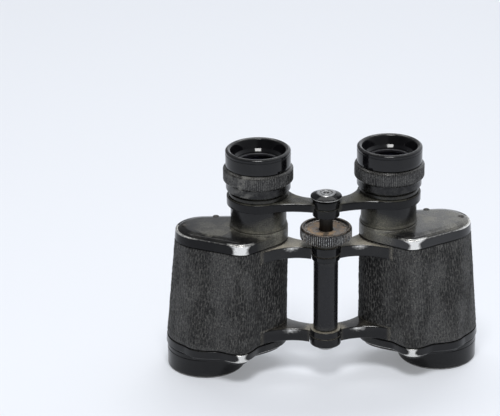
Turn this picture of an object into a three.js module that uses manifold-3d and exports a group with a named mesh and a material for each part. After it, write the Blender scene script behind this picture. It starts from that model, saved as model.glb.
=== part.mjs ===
// Porro prism binoculars of the 8x30 class with centre focusing.
// Millimetres, +Z up. The object stands on its two objective barrels with the eyecups on top.
// The origin is the middle of its footprint on the table; the front, with the focus wheel, faces -Y.
// "right" and "left" are as seen from the front, so the right half is on +X.
import * as THREE from 'three';
import { mergeVertices } from 'three/addons/utils/BufferGeometryUtils.js';
import Module from 'manifold-3d';

const wasm = await Module();
wasm.setup();

// ---------------------------------------------------------------- driving dimensions
const GAP = 0.3; // air between pieces that touch
const FINE = 26; // facets round large turned pieces
const COARSE = 14; // facets round small turned pieces
const TINY = 12; // facets round screws
const ABOVE_ALL = 120; // height that cuts right through everything

// The hinge axis is the origin of all plan positions below; the whole is shifted to centre it.
const HINGE_TO_CENTRE_Y = -12.65;

// Optical axes of the right half, from the hinge axis.
const EYE = { x: 30.83, y: 12.26 };
const OBJECTIVE = { x: 56.4, y: 18.2 };
const FOLD_AXIS = { x: 46.6, y: 2.5 }; // light path between the two prisms

// Housing: its plan is the convex line round four round lobes, at its foot and at its rim.
const FOOT_Z = 12;
const RIM_Z = 72.8;
const FOOT_LOBES = [
  { x: 41.8, y: -3.8, r: 6.0 }, // front ridge
  { x: 31.0, y: 15.6, r: 13.6 }, // inner end, round the lower prism
  { ...OBJECTIVE, r: 19.4 }, // round the objective
  { x: 58.0, y: 6.1, r: 10.3 }, // outer end of the lower prism
];
const RIM_LOBES = [
  { x: 39.8, y: -2.6, r: 7.3 },
  { ...EYE, r: 13.9 },
  { x: OBJECTIVE.x, y: 13.6, r: 13.8 },
  { x: 56.0, y: 9.6, r: 9.6 },
];
const OUTLINE_STEPS = 40;
// Insets are distances from that outline to a piece's own surface.
const CASTING_INSET = 1.5;
const CAVITY_INSET = 3.2;
const COVERING_OUTER_INSET = 0.1;
const COVERING_INNER_INSET = CASTING_INSET - GAP;
const SKIRT_INSET = 1.2; // inside of both covers' skirts
const FOOT_SKIRT_TOP = 16.1;
const RIM_SKIRT_FOOT = 68.3;
const CASTING_FOOT = 13.5;
const CASTING_TOP = 71.7;

// Covers, as [z, inset] rings from the bottom up.
const TOP_COVER_RINGS = [
  [RIM_SKIRT_FOOT, 0], [RIM_Z - 0.4, 0], [RIM_Z, 0.4], [RIM_Z + 0.7, 1.8], [RIM_Z + 1.4, 4.2],
];
const BOTTOM_COVER_RINGS = [
  [9.9, 2.8], [10.4, 2.2], [11.9, 2.2], [FOOT_Z + 0.2, 0.4], [FOOT_Z + 0.7, 0], [FOOT_SKIRT_TOP, 0],
];
const COVER_THICKNESS = 0.8;

// Central hinge.
const AXLE_R = 4.0;
const AXLE_BORE_R = AXLE_R + GAP;
const SPINDLE_R = 3.2;
const SPINDLE_BORE_R = SPINDLE_R + GAP;
const SPINDLE_FOOT = 50;
const SPINDLE_WELL_FOOT = 47; // bottom of the hollow that the spindle slides in
const HINGE_TUBE_R = 5.83;
const LUG_CLEARANCE = 0.5;
const LOWER_HINGE = { armFoot: 18.0, armTop: 23.6, knuckleR: 7.4, foot: 17.1, seam: 21.6, top: 25.0 };
const UPPER_HINGE = { armFoot: 61.8, armTop: 67.0, knuckleR: 6.7, foot: 61.2, seam: 63.9, top: 68.4 };
const COLLAR_R = 6.2;
const END_SCREW_R = 4.6;
const END_SCREW_FOOT = 14.8;
const END_SCREW_TOP = 16.8;
const SCREW_SLOT_WIDTH = 1.0;
const SCREW_SLOT_DEPTH = 0.7;

// Hinge arm seen from above: its hollow front edge, two points inside the housing, its hollow back edge.
const ARM_FRONT = { start: [4.5, -4.9], bend: [13.5, 6.75], end: [30.6, -3.9] };
const ARM_INSIDE = [[36, 2], [28, 20]];
const ARM_BACK = { start: [19, 16.6], bend: [12.5, 7.6], end: [4.2, 5.3] };

// Focus wheel and column.
const WHEEL_R = 12.18;
const WHEEL_FOOT = 71.35;
const WHEEL_TOP = 77.65;
const COLUMN_R = 5.9;
const COLUMN_FOOT = 83.45;
const COLUMN_SEAM = 87.75;
const COLUMN_TOP = 91.6;
const CAP_RIM_R = 7.39;
const CAP_FLAT_R = 4.59;
const CAP_FOOT_R = 6.7;
const CAP_TOP = 94.65;

// Eyepieces.
const BRIDGE_RING_R = 14.95;
const BRIDGE_FOOT = 85.6;
const BRIDGE_TOP = 89.9;
const NECK_R = 13.17;
const NECK_BORE_R = 12.3;
const NECK_FOOT = 75.0;
const NECK_TOP = 86.0;
const SPIGOT_R = 11.5; // lower end of the neck, inside the cover's boss
const SPIGOT_FOOT = 73.2;
const LIGHT_BORE_R = 10.6;
const BOSS_R = 13.9;
const BRIDGE_POCKET_TOP = 87.8; // the bridge ring's hollow over the end of the neck
const SLEEVE_R = NECK_BORE_R - GAP;
const SLEEVE_FOOT = 78;
const SLEEVE_BORE_R = 11.0;
const TUBE_COLLAR_R = 13.9;
const THREAD_R = 13.0;
const THREAD_TOP = 100.5;
const RING_R = 16.48;
const RING_SKIRT_R = 15.19;
const RING_SKIRT_FOOT = 93.4;
const RING_FOOT = 97.7;
const RING_TOP = 104.4;
const CELL_R = 11.6;
const CELL_FOOT = 89;
const CELL_TOP = 106.6;
const CELL_BORE_R = 10.4;
const CELL_LIP = { r: 9.0, thickness: 1.0 };
const EYE_LENS = { r: 10.1, foot: 101.6, top: 104.4, crown: 0.7 };
const FIELD_LENS = { r: 10.7, foot: 80.4, top: 82.4, crown: 0.8 };
const EYECUP_R = 15.33;
const EYECUP_TOP = 113;
const EYECUP_WELL = { r: 10.8, z: 107.3 }; // bottom of its conical hollow

// Objectives.
const BARREL_R = 18.9;
const BARREL_TOP = 11.7;
const BARREL_LIP = { inner: 17.2, outer: 18.5 };
const COLLAR_TOP = 17;
const BARREL_COLLAR_R = 15.9;
const HOOD = { mouthR: 16.6, mouthZ: 2.6, r: 15.5, top: 9.6 };
const BEHIND_LENS_R = 14.4;
const OBJECTIVE_LENS = { r: 15.2, foot: 6.0, top: 8.4, crown: 0.9 };
const OBJECTIVE_RING = { outer: 15.2, inner: 14.2, foot: 3.0, top: 4.6 };

// Prisms: right-angled, lying on a shelf half way up.
const SHELF_FOOT = 39;
const SHELF_TOP = 41;
const PRISM_HALF_LENGTH = 17;
const PRISM_WIDTH = 16;
const CLIP_WIDTH = 5;
const CLIP_AIR = 0.5;
const CLIP_THICKNESS = 0.9;
const WINDOW_R = 6.8;

// Strap lug on the back of each half.
const LUG = {
  x: 50.5, width: 15, reach: 7.4, foot: 60.4, thickness: 2.4, rounding: 3,
  slot: 9.6, slotDepth: 4.7, bar: 1.8,
};
const LUG_WALL_Y = 29.6; // outer face of the housing behind the lug

// Screws of the top cover.
const COVER_SCREWS = {
  outer: { x: OBJECTIVE.x + 9.3, y: 14.1 },
  rear: { x: 50.5, y: 23.6 },
};
const SCREW_HEAD_R = 1.5;
const SCREW_SHANK_R = 0.9;
const SCREW_SEAT_Z = 73.0;
const SCREW_TOP = 74.5;

// ---------------------------------------------------------------- solids and booleans
function withoutSlivers(index) {
  const kept = [];
  for (let i = 0; i < index.length; i += 3) {
    const [a, b, c] = [index[i], index[i + 1], index[i + 2]];
    if (a !== b && b !== c && c !== a) kept.push(a, b, c);
  }
  return kept;
}

function signedVolume(positions, index) {
  const corner = (i) => new THREE.Vector3().fromArray(positions, 3 * index[i]);
  let volume = 0;
  for (let i = 0; i < index.length; i += 3) {
    volume += corner(i).dot(corner(i + 1).cross(corner(i + 2))) / 6;
  }
  return volume;
}

// A manifold solid from a closed three.js geometry, with its faces turned outwards.
function solid(geometry) {
  const bare = new THREE.BufferGeometry();
  bare.setAttribute('position', geometry.getAttribute('position').clone());
  if (geometry.index) bare.setIndex(geometry.index.clone());
  const merged = mergeVertices(bare, 1e-4);
  const positions = merged.getAttribute('position').array;
  let index = withoutSlivers(merged.index.array);
  if (signedVolume(positions, index) < 0) index = index.reverse();
  return new wasm.Manifold(new wasm.Mesh({
    numProp: 3,
    vertProperties: Float32Array.from(positions),
    triVerts: Uint32Array.from(index),
  }));
}

function geometryOf(manifold) {
  const mesh = manifold.getMesh();
  const geometry = new THREE.BufferGeometry();
  geometry.setAttribute('position', new THREE.BufferAttribute(mesh.vertProperties, 3));
  geometry.setIndex(new THREE.BufferAttribute(mesh.triVerts, 1));
  geometry.computeVertexNormals();
  return geometry;
}

const join = (first, ...others) => others.reduce((sum, next) => sum.add(next), first);
const cut = (first, ...others) => others.reduce((rest, next) => rest.subtract(next), first);

// A turned solid about a vertical axis at `at`; the profile is [radius, z] pairs.
function turned(profile, at = { x: 0, y: 0 }, facets = FINE) {
  const points = profile.map(([r, z]) => new THREE.Vector2(r, z));
  const geometry = new THREE.LatheGeometry(points, facets);
  geometry.rotateX(Math.PI / 2);
  geometry.translate(at.x, at.y, 0);
  return solid(geometry);
}

const disc = (r, foot, top, at, facets) => turned([[0, foot], [r, foot], [r, top], [0, top]], at, facets);

const tube = (outer, inner, foot, top, at, facets) =>
  turned([[inner, foot], [outer, foot], [outer, top], [inner, top], [inner, foot]], at, facets);

const bore = (r, at, facets) => disc(r, 0, ABOVE_ALL, at, facets);

// A lens, thicker in the middle by `crown` on each face.
function lens({ r, foot, top, crown }, at) {
  const steps = 2;
  const face = (z, lift) => Array.from({ length: steps + 1 }, (_, i) => {
    const radius = (r * i) / steps;
    return [radius, z + lift * (1 - (radius / r) ** 2)];
  });
  return turned([...face(foot, -crown), ...face(top, crown).reverse()], at);
}

function upright(shape, foot, top) {
  const geometry = new THREE.ExtrudeGeometry(shape, {
    depth: top - foot, bevelEnabled: false, curveSegments: 7,
  });
  geometry.translate(0, 0, foot);
  return solid(geometry);
}

// ---------------------------------------------------------------- housing form
// One outline of the housing, as the points where its lobes reach furthest in each direction.
function outline(lobes, inset) {
  return Array.from({ length: OUTLINE_STEPS }, (_, i) => {
    const angle = (2 * Math.PI * i) / OUTLINE_STEPS;
    const [dx, dy] = [Math.cos(angle), Math.sin(angle)];
    const reach = (lobe) => dx * lobe.x + dy * lobe.y + lobe.r;
    const lobe = lobes.reduce((best, next) => (reach(next) > reach(best) ? next : best));
    return new THREE.Vector2(lobe.x + dx * (lobe.r - inset), lobe.y + dy * (lobe.r - inset));
  });
}

// A solid between outlines of the housing; rings are [z, inset] pairs from the bottom up.
function loft(rings) {
  const positions = [];
  for (const [z, inset] of rings) {
    const foot = outline(FOOT_LOBES, inset);
    const rim = outline(RIM_LOBES, inset);
    const share = (z - FOOT_Z) / (RIM_Z - FOOT_Z);
    foot.forEach((point, i) => {
      const { x, y } = point.clone().lerp(rim[i], share);
      positions.push(x, y, z);
    });
  }
  const index = [];
  const last = (rings.length - 1) * OUTLINE_STEPS;
  for (let i = 0; i < OUTLINE_STEPS; i += 1) {
    const next = (i + 1) % OUTLINE_STEPS;
    for (let ring = 0; ring < last; ring += OUTLINE_STEPS) {
      const above = ring + OUTLINE_STEPS;
      index.push(ring + i, ring + next, above + next, ring + i, above + next, above + i);
    }
    if (i > 0 && i < OUTLINE_STEPS - 1) {
      index.push(0, next, i, last, last + i, last + next);
    }
  }
  const geometry = new THREE.BufferGeometry();
  geometry.setAttribute('position', new THREE.Float32BufferAttribute(positions, 3));
  geometry.setIndex(index);
  return solid(geometry);
}

// Plan of a hinge arm from the knuckle to inside the housing, with its sides moved out by `grow`.
function hingeArmShape(grow) {
  const shape = new THREE.Shape();
  const front = ([x, y]) => [x, y - grow];
  const back = ([x, y]) => [x, y + grow];
  const [endX, endY] = front(ARM_FRONT.end);
  shape.moveTo(...front(ARM_FRONT.start));
  shape.quadraticCurveTo(...front(ARM_FRONT.bend), endX + grow, endY);
  ARM_INSIDE.forEach((point) => shape.lineTo(...point));
  shape.lineTo(...back(ARM_BACK.start));
  shape.quadraticCurveTo(...back(ARM_BACK.bend), ...back(ARM_BACK.end));
  shape.closePath();
  return shape;
}

function hingeArm(hinge, grow = 0) {
  return upright(hingeArmShape(grow), hinge.armFoot - grow, hinge.armTop + grow);
}

// One arm with its share of the knuckle, cleared round the other half's lug.
function hingeArmWithLug(hinge, hasUpperLug) {
  const half = GAP / 2;
  const [foot, top] = hasUpperLug ? [hinge.seam + half, hinge.top] : [hinge.foot, hinge.seam - half];
  const [clearFoot, clearTop] = hasUpperLug ? [hinge.foot - 1, foot] : [top, hinge.top + 1];
  const clearance = disc(hinge.knuckleR + LUG_CLEARANCE, clearFoot, clearTop);
  const arm = cut(hingeArm(hinge), clearance);
  return cut(join(arm, disc(hinge.knuckleR, foot, top)), bore(AXLE_BORE_R, undefined, COARSE));
}

const cavity = (inset) => loft([[CASTING_FOOT - 2, inset], [CASTING_TOP + 2, inset]]);

function housing(side) {
  const hasUpperLug = side === 'left';
  const shell = loft([[CASTING_FOOT, CASTING_INSET], [CASTING_TOP, CASTING_INSET]]);
  const arms = [LOWER_HINGE, UPPER_HINGE].map((hinge) => hingeArmWithLug(hinge, hasUpperLug));
  const barrelSeat = disc(BARREL_COLLAR_R + GAP, CASTING_FOOT - 1, COLLAR_TOP + GAP, OBJECTIVE);
  return cut(join(shell, ...arms), cavity(CAVITY_INSET), barrelSeat);
}

function covering() {
  const foot = FOOT_SKIRT_TOP + GAP;
  const top = RIM_SKIRT_FOOT - GAP;
  const edge = 0.5;
  return cut(
    loft([[foot, COVERING_OUTER_INSET + edge], [foot + edge, COVERING_OUTER_INSET],
      [top - edge, COVERING_OUTER_INSET], [top, COVERING_OUTER_INSET + edge]]),
    loft([[foot - 1, COVERING_INNER_INSET], [top + 1, COVERING_INNER_INSET]]),
    hingeArm(LOWER_HINGE, GAP),
    hingeArm(UPPER_HINGE, GAP),
  );
}

// ---------------------------------------------------------------- covers and screws
function topCover() {
  const inside = loft([[RIM_SKIRT_FOOT - 1, SKIRT_INSET], [RIM_Z - COVER_THICKNESS, SKIRT_INSET]]);
  const boss = disc(BOSS_R, RIM_Z - COVER_THICKNESS / 2, NECK_FOOT - GAP, EYE);
  const seats = Object.values(COVER_SCREWS).map((at) => join(
    disc(SCREW_HEAD_R + GAP, SCREW_SEAT_Z, ABOVE_ALL, at, TINY),
    bore(SCREW_SHANK_R + GAP, at, TINY),
  ));
  return cut(join(loft(TOP_COVER_RINGS), boss), inside, bore(SPIGOT_R + GAP, EYE), ...seats);
}

function coverScrew(at) {
  return join(
    disc(SCREW_HEAD_R, SCREW_SEAT_Z + GAP, SCREW_TOP, at, TINY),
    disc(SCREW_SHANK_R, CASTING_TOP + GAP, SCREW_SEAT_Z + 1, at, TINY),
  );
}

function bottomCover() {
  const inside = loft([[CASTING_FOOT - GAP, SKIRT_INSET], [FOOT_SKIRT_TOP + 1, SKIRT_INSET]]);
  const barrelSeat = disc(BARREL_R + 0.5, 0, BARREL_TOP + GAP, OBJECTIVE);
  return cut(loft(BOTTOM_COVER_RINGS), inside, barrelSeat, bore(BARREL_COLLAR_R + GAP, OBJECTIVE));
}

// ---------------------------------------------------------------- optics
function objectiveBarrel() {
  return turned([
    [BARREL_LIP.inner, 0], [BARREL_LIP.outer, 0], [BARREL_R, 0.5], [BARREL_R, BARREL_TOP],
    [BARREL_COLLAR_R, BARREL_TOP], [BARREL_COLLAR_R, COLLAR_TOP], [BEHIND_LENS_R, COLLAR_TOP],
    [BEHIND_LENS_R, HOOD.top], [HOOD.r, HOOD.top], [HOOD.r, HOOD.mouthZ], [HOOD.mouthR, HOOD.mouthZ],
    [BARREL_LIP.inner, 0],
  ], OBJECTIVE);
}

function objectiveRing() {
  return tube(OBJECTIVE_RING.outer, OBJECTIVE_RING.inner, OBJECTIVE_RING.foot, OBJECTIVE_RING.top, OBJECTIVE);
}

const inCavity = (piece) => piece.intersect(cavity(CAVITY_INSET + GAP));

function prismShelf() {
  const slab = inCavity(disc(2 * OBJECTIVE.x, SHELF_FOOT, SHELF_TOP, OBJECTIVE, TINY));
  const windows = [OBJECTIVE, FOLD_AXIS, EYE].map((at) => bore(WINDOW_R, at, COARSE));
  return cut(slab, ...windows);
}

// An outline in the upright plane through two light paths, given width across that plane.
function acrossPaths(points, width, from, to, z) {
  const shape = new THREE.Shape(points.map(([x, y]) => new THREE.Vector2(x, y)));
  const geometry = new THREE.ExtrudeGeometry(shape, { depth: width, bevelEnabled: false });
  geometry.translate(0, 0, -width / 2);
  geometry.rotateX(Math.PI / 2);
  geometry.rotateZ(Math.atan2(to.y - from.y, to.x - from.x));
  geometry.translate((from.x + to.x) / 2, (from.y + to.y) / 2, z);
  return inCavity(solid(geometry));
}

// A prism stands on its long face; up is 1 for the upper prism and -1 for the lower one.
function prism(from, to, z, up) {
  const reach = PRISM_HALF_LENGTH;
  return acrossPaths([[-reach, 0], [reach, 0], [0, up * reach]], PRISM_WIDTH, from, to, z);
}

// The spring strap over a prism's edge.
function prismClip(from, to, z, up) {
  const near = PRISM_HALF_LENGTH + CLIP_AIR;
  const far = near + CLIP_THICKNESS;
  const points = [[-far, 0], [0, up * far], [far, 0], [near, 0], [0, up * near], [-near, 0]];
  return acrossPaths(points, CLIP_WIDTH, from, to, z);
}

// ---------------------------------------------------------------- strap lug
function strapLug() {
  const [left, right] = [LUG.x - LUG.width / 2, LUG.x + LUG.width / 2];
  const end = LUG_WALL_Y + LUG.reach;
  const plan = new THREE.Shape();
  plan.moveTo(left, LUG_WALL_Y - LUG.rounding);
  plan.lineTo(right, LUG_WALL_Y - LUG.rounding);
  plan.lineTo(right, end - LUG.rounding);
  plan.quadraticCurveTo(right, end, right - LUG.rounding, end);
  plan.lineTo(left + LUG.rounding, end);
  plan.quadraticCurveTo(left, end, left, end - LUG.rounding);
  const plate = upright(plan, LUG.foot, LUG.foot + LUG.thickness);
  const slot = new THREE.BoxGeometry(LUG.slot, LUG.slotDepth, ABOVE_ALL)
    .translate(LUG.x, end - LUG.bar - LUG.slotDepth / 2, ABOVE_ALL / 2);
  return cut(plate, loft([[FOOT_Z, -GAP], [RIM_Z, -GAP]]), solid(slot));
}

// ---------------------------------------------------------------- bridge and eyepieces
function bridgeArmShape() {
  const shape = new THREE.Shape();
  shape.moveTo(3.5, -4.7);
  shape.quadraticCurveTo(15.8, 1.6, EYE.x - 2, EYE.y - BRIDGE_RING_R + 0.2);
  shape.lineTo(EYE.x, EYE.y);
  shape.lineTo(EYE.x - 14.4, EYE.y + 3.4);
  shape.quadraticCurveTo(12.5, 4.6, 3.0, 5.0);
  shape.closePath();
  return shape;
}

// One bridge arm: a ring round the eyepiece and half of the lug on the column.
function bridgeArm(side) {
  const half = GAP / 2;
  const hasUpperLug = side === 'left';
  const [foot, top] = hasUpperLug ? [COLUMN_SEAM + half, COLUMN_TOP] : [COLUMN_FOOT, COLUMN_SEAM - half];
  const [clearFoot, clearTop] = hasUpperLug ? [BRIDGE_FOOT - 1, foot] : [top, COLUMN_TOP + 1];
  const clearance = disc(COLUMN_R + LUG_CLEARANCE, clearFoot, clearTop);
  const web = cut(upright(bridgeArmShape(), BRIDGE_FOOT, BRIDGE_TOP), clearance);
  const ring = turned([
    [SLEEVE_BORE_R, BRIDGE_FOOT], [BRIDGE_RING_R - 0.5, BRIDGE_FOOT], [BRIDGE_RING_R, BRIDGE_FOOT + 0.5],
    [BRIDGE_RING_R, BRIDGE_TOP - 0.8], [BRIDGE_RING_R - 0.8, BRIDGE_TOP], [SLEEVE_BORE_R, BRIDGE_TOP],
    [SLEEVE_BORE_R, BRIDGE_FOOT],
  ], EYE);
  return cut(
    join(web, ring, disc(COLUMN_R, foot, top)),
    bore(SPINDLE_BORE_R, undefined, COARSE),
    disc(NECK_R + GAP, 0, BRIDGE_POCKET_TOP, EYE),
    bore(SLEEVE_R + GAP, EYE),
  );
}

function guideTube() {
  return turned([
    [LIGHT_BORE_R, SPIGOT_FOOT], [SPIGOT_R, SPIGOT_FOOT], [SPIGOT_R, NECK_FOOT], [NECK_R, NECK_FOOT],
    [NECK_R, NECK_TOP - 0.3], [NECK_R - 0.3, NECK_TOP], [NECK_BORE_R, NECK_TOP],
    [NECK_BORE_R, NECK_FOOT + 1], [LIGHT_BORE_R, NECK_FOOT + 1], [LIGHT_BORE_R, SPIGOT_FOOT],
  ], EYE);
}

function ocularTube() {
  const collarFoot = BRIDGE_TOP + GAP;
  const collarTop = RING_SKIRT_FOOT - 1.4;
  return turned([
    [SLEEVE_BORE_R, SLEEVE_FOOT], [SLEEVE_R, SLEEVE_FOOT], [SLEEVE_R, collarFoot],
    [TUBE_COLLAR_R, collarFoot], [TUBE_COLLAR_R, collarTop], [THREAD_R, collarTop],
    [THREAD_R, THREAD_TOP], [CELL_R + GAP, THREAD_TOP], [CELL_R + GAP, CELL_FOOT - 2],
    [SLEEVE_BORE_R, CELL_FOOT - 2], [SLEEVE_BORE_R, SLEEVE_FOOT],
  ], EYE);
}

function eyepieceRing() {
  return turned([
    [THREAD_R + GAP, RING_SKIRT_FOOT], [RING_SKIRT_R - 0.3, RING_SKIRT_FOOT],
    [RING_SKIRT_R, RING_SKIRT_FOOT + 0.3], [RING_SKIRT_R, RING_FOOT - 0.6], [RING_R, RING_FOOT],
    [RING_R, RING_TOP - 0.9], [RING_R - 0.9, RING_TOP], [CELL_R + GAP, RING_TOP],
    [CELL_R + GAP, RING_TOP - 1.8], [THREAD_R + GAP, RING_TOP - 1.8], [THREAD_R + GAP, RING_SKIRT_FOOT],
  ], EYE);
}

function eyecup() {
  const foot = RING_TOP + GAP;
  return turned([
    [CELL_R + GAP, foot], [EYECUP_R - 0.4, foot], [EYECUP_R, foot + 0.4], [EYECUP_R, EYECUP_TOP - 0.9],
    [EYECUP_R - 0.3, EYECUP_TOP - 0.25], [EYECUP_R - 0.8, EYECUP_TOP], [EYECUP_R - 1.6, EYECUP_TOP],
    [EYECUP_R - 2.1, EYECUP_TOP - 0.6], [EYECUP_WELL.r, EYECUP_WELL.z],
    [EYECUP_WELL.r - 0.4, EYECUP_WELL.z - 0.3], [CELL_R + GAP, CELL_TOP + GAP], [CELL_R + GAP, foot],
  ], EYE);
}

const lensCell = () => turned([
  [CELL_BORE_R, CELL_FOOT], [CELL_R, CELL_FOOT], [CELL_R, CELL_TOP], [CELL_LIP.r, CELL_TOP],
  [CELL_LIP.r, CELL_TOP - CELL_LIP.thickness], [CELL_BORE_R, CELL_TOP - CELL_LIP.thickness],
  [CELL_BORE_R, CELL_FOOT],
], EYE);

// ---------------------------------------------------------------- centre line pieces
const hingeAxle = () => turned([
  [0, END_SCREW_TOP + GAP], [AXLE_R, END_SCREW_TOP + GAP], [AXLE_R, WHEEL_FOOT - GAP],
  [SPINDLE_BORE_R, WHEEL_FOOT - GAP], [SPINDLE_BORE_R, SPINDLE_WELL_FOOT], [0, SPINDLE_WELL_FOOT],
], undefined, COARSE);

const hingeTube = () => tube(HINGE_TUBE_R, AXLE_BORE_R, LOWER_HINGE.top + GAP, UPPER_HINGE.foot - GAP,
  undefined, COARSE);

const hingeCollar = () => tube(COLLAR_R, AXLE_BORE_R, UPPER_HINGE.top + GAP, WHEEL_FOOT - GAP,
  undefined, COARSE);

function hingeEndScrew() {
  const head = turned([
    [0, END_SCREW_FOOT], [END_SCREW_R - 0.6, END_SCREW_FOOT], [END_SCREW_R, END_SCREW_FOOT + 0.6],
    [END_SCREW_R, END_SCREW_TOP], [0, END_SCREW_TOP],
  ], undefined, COARSE);
  const slot = new THREE.BoxGeometry(3 * END_SCREW_R, SCREW_SLOT_WIDTH, 2 * SCREW_SLOT_DEPTH)
    .translate(0, 0, END_SCREW_FOOT);
  return cut(head, solid(slot));
}

const focusWheel = () => turned([
  [SPINDLE_BORE_R, WHEEL_FOOT], [WHEEL_R - 0.6, WHEEL_FOOT], [WHEEL_R, WHEEL_FOOT + 0.6],
  [WHEEL_R, WHEEL_TOP - 0.5], [WHEEL_R - 0.5, WHEEL_TOP], [WHEEL_R - 1.3, WHEEL_TOP],
  [WHEEL_R - 2.0, WHEEL_TOP - 0.9], [5.4, WHEEL_TOP - 1.5], [SPINDLE_BORE_R, WHEEL_TOP - 1.5],
  [SPINDLE_BORE_R, WHEEL_FOOT],
]);

const focusSpindle = () => disc(SPINDLE_R, SPINDLE_FOOT, COLUMN_TOP, undefined, COARSE);

const columnCap = () => turned([
  [0, COLUMN_TOP + GAP], [CAP_FOOT_R, COLUMN_TOP + GAP], [CAP_RIM_R, CAP_TOP - 2.0],
  [CAP_RIM_R - 0.2, CAP_TOP - 1.55], [CAP_FLAT_R + 0.3, CAP_TOP - 0.15], [CAP_FLAT_R, CAP_TOP],
  [0, CAP_TOP],
], undefined, COARSE);

// ---------------------------------------------------------------- materials
const LOOKS = {
  enamel: { color: 0x1b1b1d, roughness: 0.35, metalness: 0.3 },
  leatherette: { color: 0x232425, roughness: 0.75, metalness: 0 },
  bakelite: { color: 0x151517, roughness: 0.25, metalness: 0 },
  knurled: { color: 0x4a4a45, roughness: 0.6, metalness: 0.5 },
  brass: { color: 0x9a8452, roughness: 0.4, metalness: 0.9 },
  steel: { color: 0x8d8f92, roughness: 0.35, metalness: 0.9 },
  glass: { color: 0x9fb4c4, roughness: 0.05, metalness: 0 },
};

// ---------------------------------------------------------------- assembly
const binoculars = new THREE.Group();

function place(name, piece, look, mirrored = false) {
  const geometry = geometryOf(piece);
  if (mirrored) {
    geometry.scale(-1, 1, 1);
    geometry.index.array.reverse();
    geometry.computeVertexNormals();
  }
  const mesh = new THREE.Mesh(geometry, new THREE.MeshStandardMaterial(LOOKS[look]));
  mesh.name = name;
  binoculars.add(mesh);
}

// Everything that both halves have; the left half is the right one mirrored.
function half(side) {
  const mirrored = side === 'left';
  const put = (name, piece, look) => place(`${side}_${name}`, piece, look, mirrored);
  put('housing', housing(side), 'enamel');
  put('covering', covering(), 'leatherette');
  put('top_cover', topCover(), 'enamel');
  put('bottom_cover', bottomCover(), 'enamel');
  put('cover_screw_outer', coverScrew(COVER_SCREWS.outer), 'steel');
  put('cover_screw_rear', coverScrew(COVER_SCREWS.rear), 'steel');
  put('strap_lug', strapLug(), 'steel');
  put('objective_barrel', objectiveBarrel(), 'enamel');
  put('objective_ring', objectiveRing(), 'enamel');
  put('objective_lens', lens(OBJECTIVE_LENS, OBJECTIVE), 'glass');
  put('prism_shelf', prismShelf(), 'steel');
  put('upper_prism', prism(OBJECTIVE, FOLD_AXIS, SHELF_TOP + GAP, 1), 'glass');
  put('lower_prism', prism(FOLD_AXIS, EYE, SHELF_FOOT - GAP, -1), 'glass');
  put('upper_prism_clip', prismClip(OBJECTIVE, FOLD_AXIS, SHELF_TOP + GAP, 1), 'steel');
  put('lower_prism_clip', prismClip(FOLD_AXIS, EYE, SHELF_FOOT - GAP, -1), 'steel');
  put('guide_tube', guideTube(), 'enamel');
  put('bridge_arm', bridgeArm(side), 'enamel');
  put('ocular_tube', ocularTube(), 'enamel');
  put('field_lens', lens(FIELD_LENS, EYE), 'glass');
  put('lens_cell', lensCell(), 'brass');
  put('eye_lens', lens(EYE_LENS, EYE), 'glass');
  put('eyepiece_ring', eyepieceRing(), 'knurled');
  put('eyecup', eyecup(), 'bakelite');
}

half('right');
half('left');
place('hinge_axle', hingeAxle(), 'steel');
place('hinge_tube', hingeTube(), 'enamel');
place('hinge_collar', hingeCollar(), 'enamel');
place('hinge_end_screw', hingeEndScrew(), 'steel');
place('focus_wheel', focusWheel(), 'knurled');
place('focus_spindle', focusSpindle(), 'steel');
place('column_cap', columnCap(), 'steel');

binoculars.position.y = HINGE_TO_CENTRE_Y;
binoculars.updateMatrixWorld(true);

export default binoculars;
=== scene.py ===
"""Looks of a pair of old centre-focus Porro prism binoculars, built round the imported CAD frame.

Shapes are worked out in millimetres in the frame's own axes (+Z up, -Y front, +X right) and turned into
metres when a mesh is made. Every paired piece is built once, for the right half, and mirrored for the left.
"""

import math

import bmesh
import bpy
import numpy as np
from mathutils import Matrix, Vector


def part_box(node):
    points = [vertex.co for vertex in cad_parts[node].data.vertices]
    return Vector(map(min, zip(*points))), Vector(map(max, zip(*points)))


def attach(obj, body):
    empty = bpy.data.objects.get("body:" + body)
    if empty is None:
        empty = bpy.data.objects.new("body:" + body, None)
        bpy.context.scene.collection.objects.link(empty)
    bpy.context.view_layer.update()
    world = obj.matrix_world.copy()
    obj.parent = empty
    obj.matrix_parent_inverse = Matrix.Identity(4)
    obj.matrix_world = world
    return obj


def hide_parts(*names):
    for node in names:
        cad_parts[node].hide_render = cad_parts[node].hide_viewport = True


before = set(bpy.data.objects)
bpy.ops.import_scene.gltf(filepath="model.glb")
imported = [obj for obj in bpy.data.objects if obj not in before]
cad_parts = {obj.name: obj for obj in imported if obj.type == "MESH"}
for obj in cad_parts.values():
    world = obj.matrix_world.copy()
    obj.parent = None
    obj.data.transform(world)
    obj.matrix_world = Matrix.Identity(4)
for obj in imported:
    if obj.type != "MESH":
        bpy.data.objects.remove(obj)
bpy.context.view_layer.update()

MM = 0.001
SIDES = {"right": 1, "left": -1}


# ---- places taken from the frame
def span(node):
    """Lowest and highest corner of a CAD node, in millimetres."""
    low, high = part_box(node)
    return np.array(low) / MM, np.array(high) / MM


def axis_of(node):
    low, high = span(node)
    return (low[:2] + high[:2]) / 2


def foot(node):
    return span(node)[0][2]


def top(node):
    return span(node)[1][2]


def heights(node):
    return foot(node), top(node)


HINGE = axis_of("hinge_tube")
EYE = axis_of("right_eyecup")
OBJECTIVE = axis_of("right_objective_barrel")

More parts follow.
